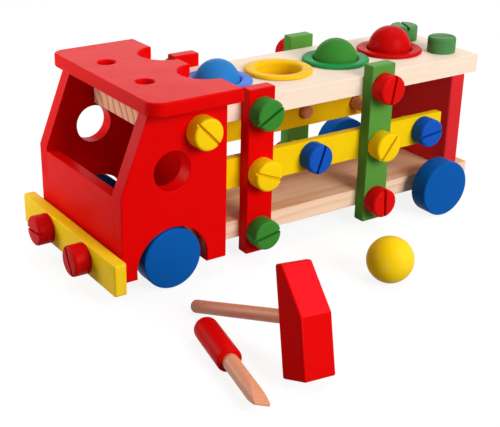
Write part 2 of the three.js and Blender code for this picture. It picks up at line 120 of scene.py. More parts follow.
class TruckPaints(bpy.types.PropertyGroup):
    """Colours of the paints and bare woods."""

    red: colour_prop("Red", "Cab and front post paint", (0.76, 0.001, 0.001))
    tool_red: colour_prop("Tool red", "Red of the hammer head and screwdriver grip", (0.67, 0.001, 0.001))
    # Paler red of the hammer's slanted face: a painted sheen
    wedge_red: colour_prop("Wedge red", "Paler red of the hammer's slanted face", (0.85, 0.010, 0.016))
    # Paler, whiter red of the rear panel: a painted sheen
    panel_red: colour_prop("Panel red", "Paler red of the rear panel", (0.72, 0.024, 0.028))
    deep_red: colour_prop("Deep red", "Red of bumper screws, ring and ball", (0.58, 0.003, 0.003))
    screw_red: colour_prop("Screw red", "Red of the post screws", (0.71, 0.005, 0.004))
    yellow: colour_prop("Yellow", "Bumper, rail, screw and ball paint", (0.96, 0.63, 0.004))
    ring_yellow: colour_prop("Ring yellow", "Yellow of the ring", (0.93, 0.53, 0.005))
    green: colour_prop("Green", "Rear post paint", (0.10, 0.30, 0.045))
    deep_green: colour_prop("Deep green", "Green of the post screws and ball", (0.043, 0.235, 0.03))
    # Paler green of the upward-facing screws: painted light and sheen from above
    pale_green: colour_prop("Pale green", "Green of the screws in the top board", (0.08, 0.25, 0.075))
    ring_green: colour_prop("Ring green", "Green of the ring", (0.018, 0.29, 0.068))
    blue: colour_prop("Blue", "Wheel paint", (0.003, 0.098, 0.40))
    screw_blue: colour_prop("Screw blue", "Blue of screws", (0.008, 0.092, 0.49))
    ball_blue: colour_prop("Ball blue", "Blue of the ball", (0.025, 0.20, 0.55))
    ring_blue: colour_prop("Ring blue", "Blue of the ring", (0.07, 0.19, 0.74))
    pine: colour_prop("Pine", "Pale wood of the top board", (0.96, 0.80, 0.65))
    # The bottom board's browner, warmer wood is partly its own tone and partly painted shade and warm
    # bounce light
    brown_pine: colour_prop("Brown pine", "Darker wood of the bottom board", (0.98, 0.74, 0.56))
    beech: colour_prop("Beech", "Bare wood of dowels, shafts and threads", (0.69, 0.275, 0.145))


class TruckSizes(bpy.types.PropertyGroup):
    """Sizes that belong to the looks."""

    board_ease: length_prop("Board easing", "Rounding of the edges of boards and panels", 1.3 * MM)
    rail_ease: length_prop("Rail easing", "Rounding of the edges of rails and the rear panel", 2.2 * MM)
    bumper_ease: length_prop("Bumper easing", "Rounding of the bumper's edges", 2.0 * MM)
    roof_corner: length_prop("Roof corner", "Radius of the roof's front corners", 14 * MM)
    shank_hole: length_prop("Screw hole radius", "Radius of the holes for screw shanks", 7.4 * MM)
    shank_length: length_prop("Shank length", "Length of a screw under its head", 31.5 * MM)
    head_height: length_prop("Head height", "Height of a screw's head", 16.5 * MM)
    head_radius: length_prop("Head radius", "Radius of a screw's head", 15 * MM)
    thread_crest: length_prop("Thread crest", "Outer radius of the wooden thread", 7.0 * MM)
    thread_root: length_prop("Thread root", "Inner radius of the wooden thread", 5.7 * MM)
    thread_pitch: length_prop("Thread pitch", "Rise of the thread in one turn", 5.0 * MM)
    ball_radius: length_prop("Ball radius", "Radius of a ball", 22.5 * MM)
    facets: IntProperty(name="Facets", description="Steps round a turned piece", default=48, min=12)


class TruckStage(bpy.types.PropertyGroup):
    """Camera and light."""

    lens: FloatProperty(name="Lens", description="Focal length of the camera in millimetres", default=77.1)
    azimuth: angle_prop("Azimuth", "Camera's turn about Z", 148.168)
    elevation: angle_prop("Elevation", "Camera's height angle", 24.532)
    key_power: power_prop("Key light", "Power of the key light", 49)
    top_power: power_prop("Top light", "Power of the overhead light", 16)
    back_power: power_prop("Back light", "Power of the light behind", 9)
    front_power: power_prop("Front light", "Power of the near light at the truck's front", 2.0)
    ambient: FloatProperty(name="Ambient", description="Strength of the light all round", default=0.2)


def middle_of(node):
    low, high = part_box(node)
    return (low + high) / 2


def truck_point(x, y, z):
    """A point in millimetres from where the boards' rear end, the middle plane and the floor meet."""
    return TRUCK_ORIGIN + Vector((x, y, z)) * MM


# Modelling by operators

def deselect_all():
    if bpy.context.mode != "OBJECT":
        bpy.ops.object.mode_set(mode="OBJECT")
    bpy.ops.object.select_all(action="DESELECT")


def pick(piece):
    deselect_all()
    piece.select_set(True)
    bpy.context.view_layer.objects.active = piece


def settle(piece):
    """Puts a piece's place and size into its mesh."""
    pick(piece)
    bpy.ops.object.transform_apply(location=True, rotation=True, scale=True)
    return piece


def block(name, low, high):
    deselect_all()
    bpy.ops.mesh.primitive_cube_add(size=1, location=(low + high) / 2)
    piece = bpy.context.active_object
    piece.name = name
    piece.scale = high - low
    return settle(piece)


def rod(start, end, radius, facets=32):
    """A round bar between two points, for cutting holes."""
    deselect_all()
    along = end - start
    bpy.ops.mesh.primitive_cylinder_add(
        vertices=facets,
        radius=radius,
        depth=along.length,
        location=(start + end) / 2,
        rotation=along.to_track_quat("Z", "Y").to_euler(),
    )
    return settle(bpy.context.active_object)


def upright_rod(x, y, low, high, radius):
    """A round bar that stands through a board and reaches past both of its faces."""
    return rod(Vector((x, y, low - CUT_PAST)), Vector((x, y, high + CUT_PAST)), radius, facets=64)


def cut_away(piece, cutters):
    """Cuts the cutters out of a piece and removes them."""
    pick(cutters[0])
    for cutter in cutters:
        cutter.select_set(True)
    if len(cutters) > 1:
        bpy.ops.object.join()
    cutter = bpy.context.active_object
    pick(piece)
    cut = piece.modifiers.new("cut", "BOOLEAN")
    cut.operation = "DIFFERENCE"
    cut.solver = "EXACT"
    cut.object = cutter
    bpy.ops.object.modifier_apply(modifier=cut.name)
    bpy.data.objects.remove(cutter, do_unlink=True)
    return piece


def slice_off(piece, point, normal):
    """Takes off what lies on the normal's side of a plane, closes the cut and merges slivers beside it."""
    pick(piece)
    bpy.ops.object.mode_set(mode="EDIT")
    bpy.ops.mesh.select_all(action="SELECT")
    bpy.ops.mesh.bisect(plane_co=point, plane_no=normal, use_fill=True, clear_outer=True)
    bpy.ops.mesh.select_all(action="SELECT")
    bpy.ops.mesh.remove_doubles(threshold=SLIVER)
    bpy.ops.object.mode_set(mode="OBJECT")
    return piece


def select_edges(piece, wanted):
    """Goes into edit mode with only the sharp edges selected whose two ends answer the question."""
    pick(piece)
    bpy.ops.object.mode_set(mode="EDIT")
    bpy.ops.mesh.select_mode(type="EDGE")
    bpy.ops.mesh.select_all(action="DESELECT")
    bpy.ops.mesh.edges_select_sharp(sharpness=SHARP)
    bpy.ops.object.mode_set(mode="OBJECT")
    sharp = [edge for edge in piece.data.edges if edge.select]
    corners = piece.data.vertices
    chosen = [edge.index for edge in sharp if wanted(*(corners[i].co for i in edge.vertices))]
    bpy.ops.object.mode_set(mode="EDIT")
    bpy.ops.mesh.select_all(action="DESELECT")
    bpy.ops.object.mode_set(mode="OBJECT")
    for index in chosen:
        piece.data.edges[index].select = True
    bpy.ops.object.mode_set(mode="EDIT")


def smooth(piece, degrees=40):
    """Shades smooth, apart from edges sharper than the angle."""
    pick(piece)
    bpy.ops.object.shade_smooth_by_angle(angle=math.radians(degrees))
    return piece


def soften(piece):
    """Shades the rounded edges smooth and keeps the flat faces flat."""
    smooth(piece, 50)
    weighted = piece.modifiers.new("flat faces", "WEIGHTED_NORMAL")
    weighted.keep_sharp = True
    bpy.ops.object.modifier_apply(modifier=weighted.name)
    return piece


def ease(piece, width, segments=3):
    """Rounds all of a piece's sharp edges."""
    pick(piece)
    bevel = piece.modifiers.new("ease", "BEVEL")
    bevel.width = width
    bevel.segments = segments
    bevel.limit_method = "ANGLE"
    bevel.angle_limit = SHARP
    bevel.miter_outer = "MITER_ARC"
    bpy.ops.object.modifier_apply(modifier=bevel.name)
    return soften(piece)


def ease_some(piece, width, wanted, segments=3):
    """Rounds the sharp edges whose two ends answer the question, and leaves the others as they are."""
    select_edges(piece, wanted)
    bpy.ops.mesh.bevel(offset=width, segments=segments, affect="EDGES")
    bpy.ops.object.mode_set(mode="OBJECT")
    return soften(piece)


def arc(centre_r, centre_z, radius, start, end, count):
    """Points of a profile's rounding, from one angle to another in degrees."""
    angles = [math.radians(start + (end - start) * i / count) for i in range(count + 1)]
    return [(centre_r + radius * math.cos(a), centre_z + radius * math.sin(a)) for a in angles]


def turned(name, profile, facets):
    """Draws a profile of (radius, height) millimetres point by point and spins it about Z."""
    deselect_all()
    points = [Vector((r, 0, z)) * MM for r, z in profile]
    bpy.ops.mesh.primitive_plane_add(size=2 * MM, location=(0, 0, 0))
    piece = bpy.context.active_object
    piece.name = name
    bpy.ops.object.mode_set(mode="EDIT")
    bpy.ops.mesh.select_mode(type="VERT")
    bpy.ops.mesh.select_all(action="SELECT")
    bpy.ops.mesh.merge(type="CENTER")
    bpy.ops.transform.translate(value=points[0])
    for before, after in zip(points, points[1:]):
        bpy.ops.mesh.extrude_region_move(TRANSFORM_OT_translate={"value": after - before})
    bpy.ops.mesh.select_all(action="SELECT")
    bpy.ops.mesh.spin(steps=facets, angle=2 * math.pi, center=(0, 0, 0), axis=(0, 0, 1))
    bpy.ops.mesh.select_all(action="SELECT")
    bpy.ops.mesh.remove_doubles(threshold=SEAM)
    bpy.ops.mesh.normals_make_consistent(inside=False)
    bpy.ops.object.mode_set(mode="OBJECT")
    return piece


def split_faces(piece, second):
    """Makes two material slots, the second one for the faces that answer the question."""
    piece.data.materials.append(None)
    piece.data.materials.append(None)
    for face in piece.data.polygons:
        face.material_index = 1 if second(face) else 0


def put(piece, matrix):
    """Moves and turns a piece, with its place in its mesh."""
    piece.matrix_world = matrix
    return settle(piece)


def copy_of(master, name):
    """A copy with its own mesh."""
    piece = master.copy()
    piece.data = master.data.copy()
    piece.name = name
    bpy.context.scene.collection.objects.link(piece)
    return piece


def dress(piece, node, *finishes):
    """A piece takes over from a CAD node: its body and its finishes."""
    piece.name = f"{node}_look"
    piece.data.name = piece.name
    while len(piece.data.materials) < len(finishes):
        piece.data.materials.append(None)
    for place, finish in enumerate(finishes):
        piece.data.materials[place] = finish
    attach(piece, body_of_node(node))
    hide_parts(node)
    return piece


def body_of_node(node):
    bodies = frame["record"]["behaviour"]["bodies"]
    return next(body for body, nodes in bodies.items() if node in nodes)


# Screws and their holes: how far a hole's cutter reaches above its seat, and past the screw's tip
HOLE_MOUTH = 2 * MM
HOLE_SPARE = 1 * MM


def screw_seat(name):
    """Where the underside of a screw's head rests, from its CAD node."""
    sizes = bpy.context.scene.truck_sizes
    low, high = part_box(name)
    facing = SCREWS[name][0]
    return (low + high) / 2 + facing * (sizes.shank_length - sizes.head_height) / 2


def screw_holes(*words):
    """Cutters for the holes of every screw whose name holds all the words of one of the given groups."""
    sizes = bpy.context.scene.truck_sizes
    cutters = []
    for name, (facing, _, _) in SCREWS.items():
        if any(all(word in name for word in group.split()) for group in words):
            seat = screw_seat(name)
            mouth = seat + facing * HOLE_MOUTH
            tip = seat - facing * (sizes.shank_length + HOLE_SPARE)
            cutters.append(rod(mouth, tip, sizes.shank_hole))
    return cutters


# Materials

class Wire:
    """A value in a node tree, with Python's operators as its Math nodes."""

    def __init__(self, tree, socket):
        self.tree = tree
        self.socket = socket

    def math(self, operation, first, second):
        return self.tree.node("ShaderNodeMath", {"operation": operation}, {0: first, 1: second})

    def __add__(self, other):
        return self.math("ADD", self, other)

    def __radd__(self, other):
        return self.math("ADD", other, self)

    def __sub__(self, other):
        return self.math("SUBTRACT", self, other)

    def __rsub__(self, other):
        return self.math("SUBTRACT", other, self)

    def __mul__(self, other):
        return self.math("MULTIPLY", self, other)

    def __rmul__(self, other):
        return self.math("MULTIPLY", other, self)

    def __pow__(self, other):
        return self.math("POWER", self, other)

    def __rpow__(self, other):
        return self.math("POWER", other, self)


class Tree:
    """A node tree under construction."""

    def __init__(self, node_tree):
        self.nodes = node_tree.nodes
        self.links = node_tree.links

    def plug(self, socket, value):
        if isinstance(value, Wire):
            self.links.new(value.socket, socket)
        else:
            socket.default_value = value

    def node(self, kind, settings=None, values=None, out=0):
        made = self.nodes.new(kind)
        for key, value in (settings or {}).items():
            if key == "stops":
                set_stops(made.color_ramp, value)
            else:
                setattr(made, key, value)
        for key, value in (values or {}).items():
            self.plug(made.inputs[key], value)
        return Wire(self, made.outputs[out])

    def seen(self):
        """1 for rays that show a surface, straight or by a reflection, and 0 for rays that light it."""
        rays = ("Is Camera Ray", "Is Glossy Ray", "Is Transmission Ray")
        camera, glossy, through = (self.node("ShaderNodeLightPath", out=ray) for ray in rays)
        return camera + glossy + through


class Finish(Tree):
    """A material under construction."""

    def __init__(self, name):
        self.material = bpy.data.materials.new(name)
        self.material.use_nodes = True
        super().__init__(self.material.node_tree)
        self.shader = self.nodes["Principled BSDF"]

    def place(self):
        return self.node("ShaderNodeTexCoord", out="Object")

    def stretched(self, turn, scale, shift=(0, 0, 0)):
        moved = {"Vector": self.place(), "Location": shift, "Rotation": turn, "Scale": scale}
        return self.node("ShaderNodeMapping", None, moved)

    def noise(self, vector, scale=1.0, detail=2.0, roughness=0.5, distortion=0.0):
        values = {"Vector": vector, "Scale": scale, "Detail": detail}
        values.update({"Roughness": roughness, "Distortion": distortion})
        return self.node("ShaderNodeTexNoise", None, values)

    def part(self, vector, axis):
        return self.node("ShaderNodeSeparateXYZ", None, {0: vector}, out=axis)

    def mix(self, factor, first, second):
        values = {0: factor, 6: rgba(first), 7: rgba(second)}
        return self.node("ShaderNodeMix", {"data_type": "RGBA"}, values, out=2)

    def ramp(self, value, stops):
        return self.node("ShaderNodeValToRGB", {"stops": stops}, {0: value})

    def bump(self, height, strength, distance):
        values = {"Height": height, "Strength": strength, "Distance": distance}
        self.plug(self.shader.inputs["Normal"], self.node("ShaderNodeBump", None, values))

    def surface(self, colour, roughness, gloss=0.05):
        self.plug(self.shader.inputs["Base Color"], colour)
        self.plug(self.shader.inputs["Roughness"], roughness)
        self.shader.inputs["Specular IOR Level"].default_value = gloss
        return self.material


def rgba(colour):
    if isinstance(colour, Wire):
        return colour
    return (*colour[:3], 1.0)


def set_stops(ramp, stops):
    while len(ramp.elements) < len(stops):
        ramp.elements.new(0.5)
    for element, (position, value) in zip(ramp.elements, stops):
        element.position = position
        element.color = (value, value, value, 1.0)


def shaded(colour, share):
    return tuple(channel * share for channel in colour[:3])


def tinted(colour, shares):
    return tuple(channel * share for channel, share in zip(colour, shares))


# Turns of the grain's long axis, which is X before it, and the early and late wood of a board's sawn end
GRAIN = {"x": (0, 0, 0), "y": (0, 0, math.pi / 2), "z": (0, math.pi / 2, 0)}
END_EARLY = (0.88, 0.5, 0.31)
END_LATE = (0.46, 0.13, 0.06)


def painted(colour_name, grain="x", pale=0.0):
    """Satin paint over wood: the grain stands out a little, and the coat has clouds and paler patches."""
    name = f"{colour_name}_paint_{grain}_{round(100 * pale)}"
    if name in bpy.data.materials:
        return bpy.data.materials[name]
    colour = tuple(getattr(bpy.context.scene.truck_paints, colour_name))
    finish = Finish(name)
    along = finish.stretched(GRAIN[grain], (22, 420, 420))
    fibres = finish.noise(along, detail=5.0, roughness=0.65, distortion=0.4)
    clouds = finish.noise(finish.place(), scale=32.0, detail=3.0)
    peel = finish.noise(finish.place(), scale=900.0, detail=1.0)
    pooled = finish.mix(clouds * 0.55 + fibres * 0.35, shaded(colour, 1.08), shaded(colour, 0.82))
    spots = finish.noise(finish.place(), scale=75.0, detail=4.0, roughness=0.6)
    patches = finish.ramp(spots, ((0.0, 0.0), (0.42, 0.0), (0.66, 1.0)))
    thin = finish.mix(patches * pale, pooled, tuple(0.9 * channel + 0.08 for channel in colour))
    finish.bump(fibres * 0.7 + peel * 0.3, strength=0.16, distance=0.25 * MM)
    return finish.surface(thin, 0.28 + 0.12 * clouds + 0.08 * fibres, gloss=0.03)


def board_wood(colour_name, pith, ring_width, edge_grain, face_grain_and_shading):
    """Pale softwood: rings about a far pith, long grain on edges and faces and strong arcs on the ends. The
    long grain's strength on up- and down-facing faces is also painted light and shade: weak on the top
    board as painted light, strong and dark on the bottom board as painted shade.
    """
    colour = tuple(getattr(bpy.context.scene.truck_paints, colour_name))
    finish = Finish(f"{colour_name}_wood")
    lying = GRAIN["x"]
    centred = finish.stretched(lying, (1, 1, 1), (0, -pith[0], -pith[1]))
    sway = finish.noise(finish.stretched(lying, (3.2, 16, 16)))
    across, upward = (finish.part(centred, axis) for axis in "YZ")
    radius = (across * across + upward * upward) ** 0.5
    rings = radius * (1 / ring_width) + sway * 2.4
    phase = finish.node("ShaderNodeMath", {"operation": "FRACT"}, {0: rings})
    late = finish.ramp(phase, ((0.0, 0.0), (0.5, 0.12), (0.8, 1.0), (0.95, 0.0)))
    fibres = finish.noise(finish.stretched(lying, (14, 700, 700)), detail=4.0, roughness=0.6)
    bands = finish.noise(finish.stretched(lying, (4, 120, 120)), detail=3.0, roughness=0.6)
    flecks = finish.noise(finish.stretched(lying, (90, 900, 900)))
    pores = finish.ramp(flecks, ((0.0, 0.0), (0.62, 0.0), (0.72, 1.0), (1.0, 1.0)))
    normal = finish.node("ShaderNodeTexCoord", out="Normal")
    lengthways, flat = (finish.part(normal, axis) for axis in "XZ")
    end = finish.ramp(lengthways * lengthways, ((0.0, 0.0), (0.3, 0.0), (0.7, 1.0), (1.0, 1.0)))
    streak = tinted(colour, (0.8, 0.56, 0.38))
    # Grain strength by facing: on up- and down-facing faces it is painted light on the top board and
    # painted shade on the bottom board
    strength = edge_grain + flat * flat * (face_grain_and_shading - edge_grain)
    long_grain = finish.mix((late * 0.3 + fibres * 0.3 + bands * 0.6 - 0.2) * strength, colour, streak)
    dotted = finish.mix(pores * 0.2, long_grain, tinted(colour, (0.6, 0.4, 0.26)))
    cut_end = finish.mix(late * 0.85 + fibres * 0.15, END_EARLY, END_LATE)
    tone = finish.mix(end, dotted, cut_end)
    finish.bump(late * 0.3 + fibres * 0.7, strength=0.22, distance=0.3 * MM)
    return finish.surface(tone, 0.46 + 0.14 * fibres)


def dowel_wood(name, turn):
    """Bare beech: short dark flecks and fine streaks along the grain."""
    if name in bpy.data.materials:
        return bpy.data.materials[name]
    colour = tuple(bpy.context.scene.truck_paints.beech)
    finish = Finish(name)
    along = finish.stretched(turn, (18, 520, 520))
    streaks = finish.noise(along, detail=4.0, roughness=0.6, distortion=0.3)
    flecks = finish.noise(finish.stretched(turn, (150, 1300, 1300)), detail=1.0)
    dashes = finish.ramp(flecks, ((0.0, 0.0), (0.6, 0.0), (0.68, 1.0), (1.0, 1.0)))
    tone = finish.mix(streaks, shaded(colour, 1.18), shaded(colour, 0.88))
    dashed = finish.mix(dashes * 0.25, tone, tinted(colour, (0.55, 0.45, 0.4)))
    finish.bump(streaks * 0.8 - dashes * 0.4, strength=0.2, distance=0.25 * MM)
    return finish.surface(dashed, 0.36 + 0.12 * streaks, gloss=0.35)


# Operators, one for each group of like pieces

class TOYTRUCK_OT_boards(bpy.types.Operator):
    """Top board, bottom board and rear panel, drilled and eased"""

    bl_idname = "toy_truck.boards"
    bl_label = "Boards"

    RING_HOLE = 28.5 * MM
    AXLE_BORE = 5.4 * MM

    # The tree's middle: beside the top board's middle or the bottom board's left edge, and under the board
    TOP_PITH = (120 * MM, 48 * MM)
    BOTTOM_PITH = (30 * MM, 95 * MM)

    def execute(self, context):
        sizes = context.scene.truck_sizes
        self.add_top(sizes)
        self.add_bottom(sizes)
        rear = block("rear", *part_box("rear_panel"))
        ease(cut_away(rear, screw_holes("top_screw")), sizes.rail_ease)
        # The rear panel's paler red is a painted sheen
        dress(rear, "rear_panel", painted("panel_red", "y"))
        return {"FINISHED"}

    def add_top(self, sizes):
        low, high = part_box("top_board")
        top = block("top", low, high)
        cutters = screw_holes("post_screw_top", "top_screw", "cab_screw")
        for colour in RING_PAINTS:
            middle = middle_of(f"{colour}_ring")
            cutters.append(upright_rod(middle.x, middle.y, low.z, high.z, self.RING_HOLE))
        ease(cut_away(top, cutters), sizes.board_ease)
        beside, under = self.TOP_PITH
        pith = ((low.y + high.y) / 2 - beside, low.z - under)
        # A weak grain on the faces paints the light on the top board's top
        wood = board_wood("pine", pith, ring_width=11 * MM, edge_grain=0.5, face_grain_and_shading=0.15)
        dress(top, "top_board", wood)

    def add_bottom(self, sizes):
        low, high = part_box("bottom_board")
        bottom = block("bottom", low, high)
        cutters = screw_holes("post_screw_bottom", "bumper_screw")
        reach = Vector((0, high.y - low.y, 0))
        for place in ("front", "rear"):
            middle = middle_of(f"{place}_axle")
            cutters.append(rod(middle - reach, middle + reach, self.AXLE_BORE))
        ease(cut_away(bottom, cutters), sizes.board_ease)
        beside, under = self.BOTTOM_PITH
        pith = (high.y - beside, low.z - under)
        # A strong, dark grain on the faces paints the shade in the bed
        wood = board_wood("brown_pine", pith, ring_width=8 * MM, edge_grain=1.1, face_grain_and_shading=2.2)
        dress(bottom, "bottom_board", wood)


class TOYTRUCK_OT_posts(bpy.types.Operator):
    """Posts and rails of both sides"""

    bl_idname = "toy_truck.posts"
    bl_label = "Posts and rails"

    def execute(self, context):
        sizes = context.scene.truck_sizes
        for side, _ in SIDES:
            for place, colour in (("front", "red"), ("rear", "green")):
                node = f"{side}_{place}_post"
                post = block(node, *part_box(node))
                cut_away(post, screw_holes(f"{side}_{place}_post_screw"))
                dress(ease(post, sizes.board_ease), node, painted(colour, "z"))
            node = f"{side}_rail"
            rail = block(node, *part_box(node))
            cut_away(rail, screw_holes(f"{side} rail_screw", f"{side} post_screw_middle"))
            dress(ease(rail, sizes.rail_ease), node, painted("yellow", "x"))
        return {"FINISHED"}


class TOYTRUCK_OT_cab(bpy.types.Operator):
    """Cab sides, cab front, cab back and roof"""

    bl_idname = "toy_truck.cab"
    bl_label = "Cab"

    # Heights over the front axle of what is cut from a side, with the radii
    SILL_RISE = 71 * MM
    ARCH_RISE, ARCH_RADIUS = -6 * MM, 37.5 * MM
    WINDOW_RISE, WINDOW_RADIUS = 86.5 * MM, 18.8 * MM
    WINDSCREEN_RUN = 29.5 * MM

    # Places for the tools in the roof: their distance from the middle, and the radii of hole and notch
    TOOL_OFFSET = 37 * MM
    TOOL_HOLE = 8.75 * MM
    TOOL_NOTCH = 26 * MM
    ROOF_EASE = 1.6 * MM

    def execute(self, context):
        sizes = context.scene.truck_sizes
        axle = middle_of("left_front_wheel")
        for side, sign in SIDES:
            self.add_side(sizes, axle, side, sign)
        self.add_front(sizes)
        back = block("cab_back", *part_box("cab_back"))
        dress(ease(back, sizes.board_ease), "cab_back", painted("red", "z"))
        self.add_roof(sizes, axle)
        return {"FINISHED"}

    def add_side(self, sizes, axle, side, sign):
        node = f"{side}_cab_side"
        low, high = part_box(node)
        panel = block(node, low, high)
        sill = Vector((high.x, 0, axle.z + self.SILL_RISE))
        slope = Vector((high.z - sill.z, 0, self.WINDSCREEN_RUN)).normalized()
        slice_off(panel, sill, slope)
        cutters = screw_holes(f"{side}_cab_screw")
        for rise, radius in ((self.ARCH_RISE, self.ARCH_RADIUS), (self.WINDOW_RISE, self.WINDOW_RADIUS)):
            start = Vector((axle.x, low.y - CUT_PAST, axle.z + rise))
            end = Vector((axle.x, high.y + CUT_PAST, axle.z + rise))
            cutters.append(rod(start, end, radius, facets=96))
        cut_away(panel, cutters)
        outer = high.y if sign > 0 else low.y

        def on_outer_face(start, end):
            return abs((start.y + end.y) / 2 - outer) < SLIVER / 2

        ease_some(panel, sizes.board_ease, on_outer_face)
        dress(panel, node, painted("red", "z"))

    def add_front(self, sizes):
        low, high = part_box("cab_front")
        front = cut_away(block("cab_front", low, high), screw_holes("bumper_screw"))

        def along_sill(start, end):
            lengthways = abs(start.y - end.y) > (high.y - low.y) / 2
            return lengthways and min(start.z, end.z) > high.z - SLIVER

        ease_some(front, sizes.board_ease, along_sill)
        dress(front, "cab_front", painted("red", "z"))

    def add_roof(self, sizes, axle):
        low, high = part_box("roof")
        roof = block("roof", low, high)

        def upright_in_front(start, end):
            return abs(start.z - end.z) > (high.z - low.z) / 2 and start.x > axle.x

        select_edges(roof, upright_in_front)
        bpy.ops.mesh.bevel(offset=sizes.roof_corner, segments=10, affect="EDGES")
        bpy.ops.object.mode_set(mode="OBJECT")
        cutters = []
        for _, sign in SIDES:
            y = (low.y + high.y) / 2 + sign * self.TOOL_OFFSET
            cutters.append(upright_rod(axle.x, y, low.z, high.z, self.TOOL_HOLE))
            cutters.append(upright_rod(low.x, y, low.z, high.z, self.TOOL_NOTCH))
        dress(ease(cut_away(roof, cutters), self.ROOF_EASE), "roof", painted("red", "y"))


class TOYTRUCK_OT_bumper(bpy.types.Operator):
    """Bumper with rounded edges"""

    bl_idname = "toy_truck.bumper"
    bl_label = "Bumper"

    def execute(self, context):
        bumper = block("bumper", *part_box("bumper"))
        cut_away(bumper, screw_holes("bumper_screw"))
        ease(bumper, context.scene.truck_sizes.bumper_ease, segments=4)
        dress(bumper, "bumper", painted("yellow", "y", pale=0.3))
        return {"FINISHED"}


class TOYTRUCK_OT_screws(bpy.types.Operator):
    """Slotted wooden screws with painted heads and bare threads"""

    bl_idname = "toy_truck.screws"
    bl_label = "Screws"

    # In millimetres: roundings of the head, and the tip's taper as points inside the crest and over the end
    FOOT_ROUNDING = 0.8
    CROWN_ROUNDING = 2.6
    TIP_HEIGHT = 1.6
    TIP_POINTS = ((1.8, 0), (0.7, 1))
    THREAD_STEPS = 44

    SLOT_WIDTH = 3 * MM
    SLOT_DEPTH = 4 * MM

    # Plain lengths at both ends of the thread, the length of its fade, and the power that shapes its groove
    PLAIN_TIP = 1.2 * MM
    PLAIN_NECK = 1.5 * MM
    THREAD_FADE = 3 * MM
    THREAD_CURVE = 0.8

    def execute(self, context):
        sizes = context.scene.truck_sizes
        master = self.make_screw(sizes)
        for name, (facing, slot, colour) in SCREWS.items():
            slot_zero = Vector((0, 1, 0)) if facing.x else Vector((1, 0, 0))
            slot_quarter = Vector((0, 1, 0)) if facing.z else Vector((0, 0, 1))
            angle = math.radians(slot)
            along = slot_zero * math.cos(angle) + slot_quarter * math.sin(angle)
            turn = Matrix((along, facing.cross(along), facing)).transposed().to_4x4()
            screw = copy_of(master, name)
            put(screw, Matrix.Translation(screw_seat(name)) @ turn)
            grain = "x" if facing.x else "y" if facing.y else "z"
            dress(screw, name, painted(colour, grain), dowel_wood(f"thread_wood_{grain}", GRAIN[grain]))
        bpy.data.objects.remove(master, do_unlink=True)
        return {"FINISHED"}

    def make_screw(self, sizes):
        shank = sizes.shank_length / MM
        crest = sizes.thread_crest / MM
        head = sizes.head_radius / MM
        height = sizes.head_height / MM
        foot = self.FOOT_ROUNDING
        crown = self.CROWN_ROUNDING
        threaded = shank - self.TIP_HEIGHT
        profile = [(0, -shank)] + [(crest - inset, rise - shank) for inset, rise in self.TIP_POINTS]
        profile += [(crest, threaded * (i / self.THREAD_STEPS - 1)) for i in range(self.THREAD_STEPS + 1)]
        profile += [(head - foot, 0)] + arc(head - foot, foot, foot, -60, 0, 2)
        profile += arc(head - crown, height - crown, crown, 0, 90, 6) + [(0, height)]
        screw = turned("screw", profile, sizes.facets)
        for vertex in screw.data.vertices:
            self.shape_thread(vertex.co, sizes)
        top = Vector((0, 0, sizes.head_height))
        reach = Vector((2 * sizes.head_radius, self.SLOT_WIDTH / 2, self.SLOT_DEPTH))
        cut_away(screw, [block("slot", top - reach, top + reach)])
        smooth(screw)

        def on_shank(face):
            return face.center.z < 0 and face.center.xy.length < sizes.thread_crest

        split_faces(screw, on_shank)
        return screw

    def shape_thread(self, point, sizes):
        """Presses the thread's groove into the shank, fading out at both ends."""
        radius = point.xy.length
        above_tip = point.z + sizes.shank_length - self.PLAIN_TIP
        under_head = -point.z - self.PLAIN_NECK
        if min(under_head, above_tip) < 0 or radius < sizes.thread_crest - SLIVER:
            return
        turn = math.atan2(point.y, point.x) / (2 * math.pi)
        wave = 0.5 - 0.5 * math.cos(2 * math.pi * (point.z / sizes.thread_pitch - turn))
        fade = min(1.0, under_head / self.THREAD_FADE, above_tip / self.THREAD_FADE)
        depth = (sizes.thread_crest - sizes.thread_root) * wave ** self.THREAD_CURVE * fade
        share = (radius - depth) / radius
        point.x *= share
        point.y *= share


class TOYTRUCK_OT_rings(bpy.types.Operator):
    """Flanged rings in the ball holes"""

    bl_idname = "toy_truck.rings"
    bl_label = "Rings"

    # In millimetres: radii of bore, sleeve and flange, the sleeve's depth, and the flange's form
    BORE = 23
    SLEEVE = 28
    FLANGE = 35
    DEPTH = 18
    THICKNESS = 4
    RIM = 1.95
    LIP = 3.6

    def execute(self, context):
        foot = (self.BORE, -self.DEPTH)
        under_flange = self.THICKNESS - 2 * self.RIM
        profile = [foot, (self.SLEEVE, -self.DEPTH), (self.SLEEVE, under_flange)]
        profile += arc(self.FLANGE - self.RIM, self.THICKNESS - self.RIM, self.RIM, -90, 90, 8)
        profile += arc(self.BORE + self.LIP, self.THICKNESS - self.LIP, self.LIP, 90, 180, 7) + [foot]
        master = smooth(turned("ring", profile, facets=72))
        for colour, paint in RING_PAINTS.items():
            node = f"{colour}_ring"
            low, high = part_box(node)
            seat = Vector(((low.x + high.x) / 2, (low.y + high.y) / 2, high.z - self.THICKNESS * MM))
            ring = put(copy_of(master, node), Matrix.Translation(seat))
            dress(ring, node, painted(paint, "z"))
        bpy.data.objects.remove(master, do_unlink=True)
        return {"FINISHED"}


